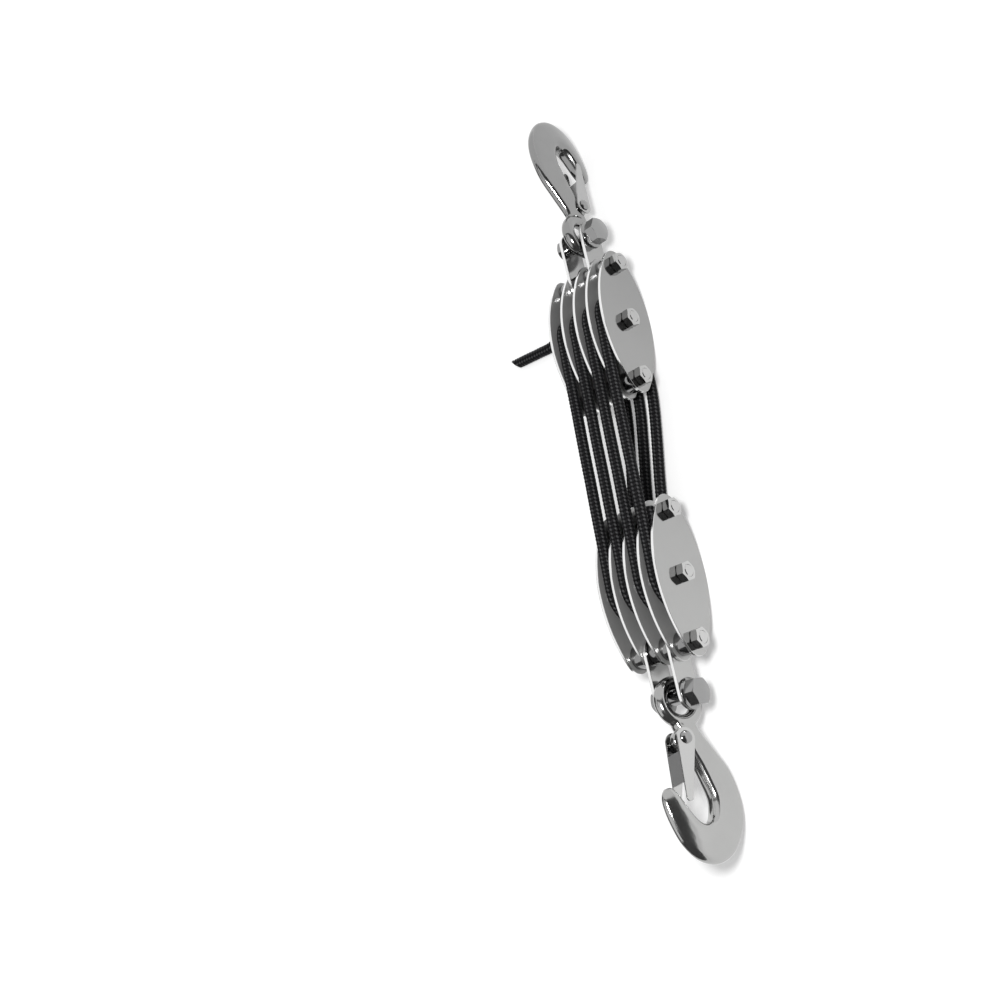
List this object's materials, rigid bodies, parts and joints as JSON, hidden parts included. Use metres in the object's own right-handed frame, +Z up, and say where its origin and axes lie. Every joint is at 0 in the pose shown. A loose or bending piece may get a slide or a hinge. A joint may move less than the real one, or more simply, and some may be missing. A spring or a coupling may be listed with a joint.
{
  "type": "block and tackle",
  "caption": "Hand rope hoist with two steel cheek-plate pulley blocks reeved with braided rope, and a swinging eye hook with a spring latch at each end.",
  "frame": {"origin": "centre of the plan of the hoist as it lies, without the loose tail, at floor level", "axes": "+X along the axles towards the nuts, +Y along the hoist towards the upper hook, +Z up from the floor"},
  "size_m": [0.1696, 0.6518, 0.0693],
  "materials": {
    "plate_steel": "zinc plated, satin",
    "sheave_steel": "zinc plated, satin",
    "bearing_steel": "ground",
    "bolt_steel": "bright zinc",
    "strap_steel": "zinc plated, satin",
    "hook_steel": "forged, bright plated",
    "latch_steel": "zinc plated sheet",
    "spring_steel": "bright wire",
    "rope": "braided fibre, matt"
  },
  "bodies": {
    "upper_block": {"upper_plate_1": "plate_steel", "upper_plate_2": "plate_steel", "upper_plate_3": "plate_steel", "upper_plate_4": "plate_steel", "upper_plate_5": "plate_steel", "upper_axle_bolt": "bolt_steel", "upper_axle_nuts": "bolt_steel", "upper_inner_bolt": "bolt_steel", "upper_inner_nuts": "bolt_steel", "upper_outer_bolt": "bolt_steel", "upper_outer_nuts": "bolt_steel", "rope_reeving": "rope", "rope_tail": "rope"},
    "lower_block": {"lower_plate_1": "plate_steel", "lower_plate_2": "plate_steel", "lower_plate_3": "plate_steel", "lower_plate_4": "plate_steel", "lower_plate_5": "plate_steel", "lower_axle_bolt": "bolt_steel", "lower_axle_nuts": "bolt_steel", "lower_inner_bolt": "bolt_steel", "lower_inner_nuts": "bolt_steel", "lower_outer_bolt": "bolt_steel", "lower_outer_nuts": "bolt_steel", "lower_rope_thimble": "sheave_steel"},
    "upper_clevis": {"upper_strap_left": "strap_steel", "upper_strap_right": "strap_steel", "upper_clevis_bolt": "bolt_steel", "upper_clevis_nut": "bolt_steel"},
    "lower_clevis": {"lower_strap_left": "strap_steel", "lower_strap_right": "strap_steel", "lower_clevis_bolt": "bolt_steel", "lower_clevis_nut": "bolt_steel"},
    "upper_hook": {"upper_hook": "hook_steel", "upper_latch_pin": "bolt_steel", "upper_latch_spring": "spring_steel"},
    "lower_hook": {"lower_hook": "hook_steel", "lower_latch_pin": "bolt_steel", "lower_latch_spring": "spring_steel"},
    "upper_latch": {"upper_latch": "latch_steel"},
    "lower_latch": {"lower_latch": "latch_steel"},
    "upper_sheave_1": {"upper_sheave_1": "sheave_steel", "upper_bearing_1": "bearing_steel"},
    "upper_sheave_2": {"upper_sheave_2": "sheave_steel", "upper_bearing_2": "bearing_steel"},
    "upper_sheave_3": {"upper_sheave_3": "sheave_steel", "upper_bearing_3": "bearing_steel"},
    "upper_sheave_4": {"upper_sheave_4": "sheave_steel", "upper_bearing_4": "bearing_steel"},
    "lower_sheave_1": {"lower_sheave_1": "sheave_steel", "lower_bearing_1": "bearing_steel"},
    "lower_sheave_2": {"lower_sheave_2": "sheave_steel", "lower_bearing_2": "bearing_steel"},
    "lower_sheave_3": {"lower_sheave_3": "sheave_steel", "lower_bearing_3": "bearing_steel"}
  },
  "joints": [
    {"name": "haul", "type": "slide", "parent": "upper_block", "child": "lower_block", "axis": [0, 1, 0], "range_m": [0, 0.075], "deforming": ["rope_reeving"]},
    {"name": "upper_clevis_swing", "type": "hinge", "parent": "upper_block", "child": "upper_clevis", "pos_m": [-0.00135, 0.16226, 0.03], "axis": [1, 0, 0], "range_deg": [-43, 36]},
    {"name": "lower_clevis_swing", "type": "hinge", "parent": "lower_block", "child": "lower_clevis", "pos_m": [-0.00135, -0.16274, 0.03], "axis": [1, 0, 0], "range_deg": [-43, 37]},
    {"name": "upper_hook_swing", "type": "hinge", "parent": "upper_clevis", "child": "upper_hook", "pos_m": [0.00145, 0.20019, 0.03232], "axis": [1, 0, 0], "range_deg": [-56, 62]},
    {"name": "lower_hook_swing", "type": "hinge", "parent": "lower_clevis", "child": "lower_hook", "pos_m": [-0.00175, -0.20069, 0.02801], "axis": [1, 0, 0], "range_deg": [-52, 66]},
    {"name": "upper_latch_open", "type": "hinge", "parent": "upper_hook", "child": "upper_latch", "pos_m": [-0.00113, 0.23376, 0.02675], "axis": [0.9971, 0.0767, 0.0004], "range_deg": [0, 34], "stiffness_Nm_per_rad": 0.02, "springref_deg": -22.92, "deforming": ["upper_latch_spring"]},
    {"name": "lower_latch_open", "type": "hinge", "parent": "lower_hook", "child": "lower_latch", "pos_m": [0.00011, -0.23362, 0.03678], "axis": [0.9584, 0.1227, 0.2579], "range_deg": [0, 34], "stiffness_Nm_per_rad": 0.02, "springref_deg": -22.92, "deforming": ["lower_latch_spring"]},
    {"name": "upper_sheave_1_turn", "type": "hinge", "parent": "upper_block", "child": "upper_sheave_1", "pos_m": [-0.02385, 0.10976, 0.03], "axis": [-1, 0, 0], "continuous": true},
    {"name": "upper_sheave_2_turn", "type": "hinge", "parent": "upper_block", "child": "upper_sheave_2", "pos_m": [-0.00885, 0.10976, 0.03], "axis": [-1, 0, 0], "continuous": true},
    {"name": "upper_sheave_3_turn", "type": "hinge", "parent": "upper_block", "child": "upper_sheave_3", "pos_m": [0.00615, 0.10976, 0.03], "axis": [-1, 0, 0], "continuous": true},
    {"name": "upper_sheave_4_turn", "type": "hinge", "parent": "upper_block", "child": "upper_sheave_4", "pos_m": [0.02115, 0.10976, 0.03], "axis": [-1, 0, 0], "continuous": true},
    {"name": "lower_sheave_1_turn", "type": "hinge", "parent": "lower_block", "child": "lower_sheave_1", "pos_m": [-0.02385, -0.11024, 0.03], "axis": [-1, 0, 0], "continuous": true},
    {"name": "lower_sheave_2_turn", "type": "hinge", "parent": "lower_block", "child": "lower_sheave_2", "pos_m": [-0.00885, -0.11024, 0.03], "axis": [-1, 0, 0], "continuous": true},
    {"name": "lower_sheave_3_turn", "type": "hinge", "parent": "lower_block", "child": "lower_sheave_3", "pos_m": [0.00615, -0.11024, 0.03], "axis": [-1, 0, 0], "continuous": true}
  ],
  "couplings": [
    {"joint": "upper_sheave_4_turn", "follows": "haul", "rad_per_m": 42.553},
    {"joint": "lower_sheave_3_turn", "follows": "haul", "rad_per_m": 85.106},
    {"joint": "upper_sheave_3_turn", "follows": "haul", "rad_per_m": 127.66},
    {"joint": "lower_sheave_2_turn", "follows": "haul", "rad_per_m": 170.21},
    {"joint": "upper_sheave_2_turn", "follows": "haul", "rad_per_m": 212.77},
    {"joint": "lower_sheave_1_turn", "follows": "haul", "rad_per_m": 255.32},
    {"joint": "upper_sheave_1_turn", "follows": "haul", "rad_per_m": 297.87}
  ]
}
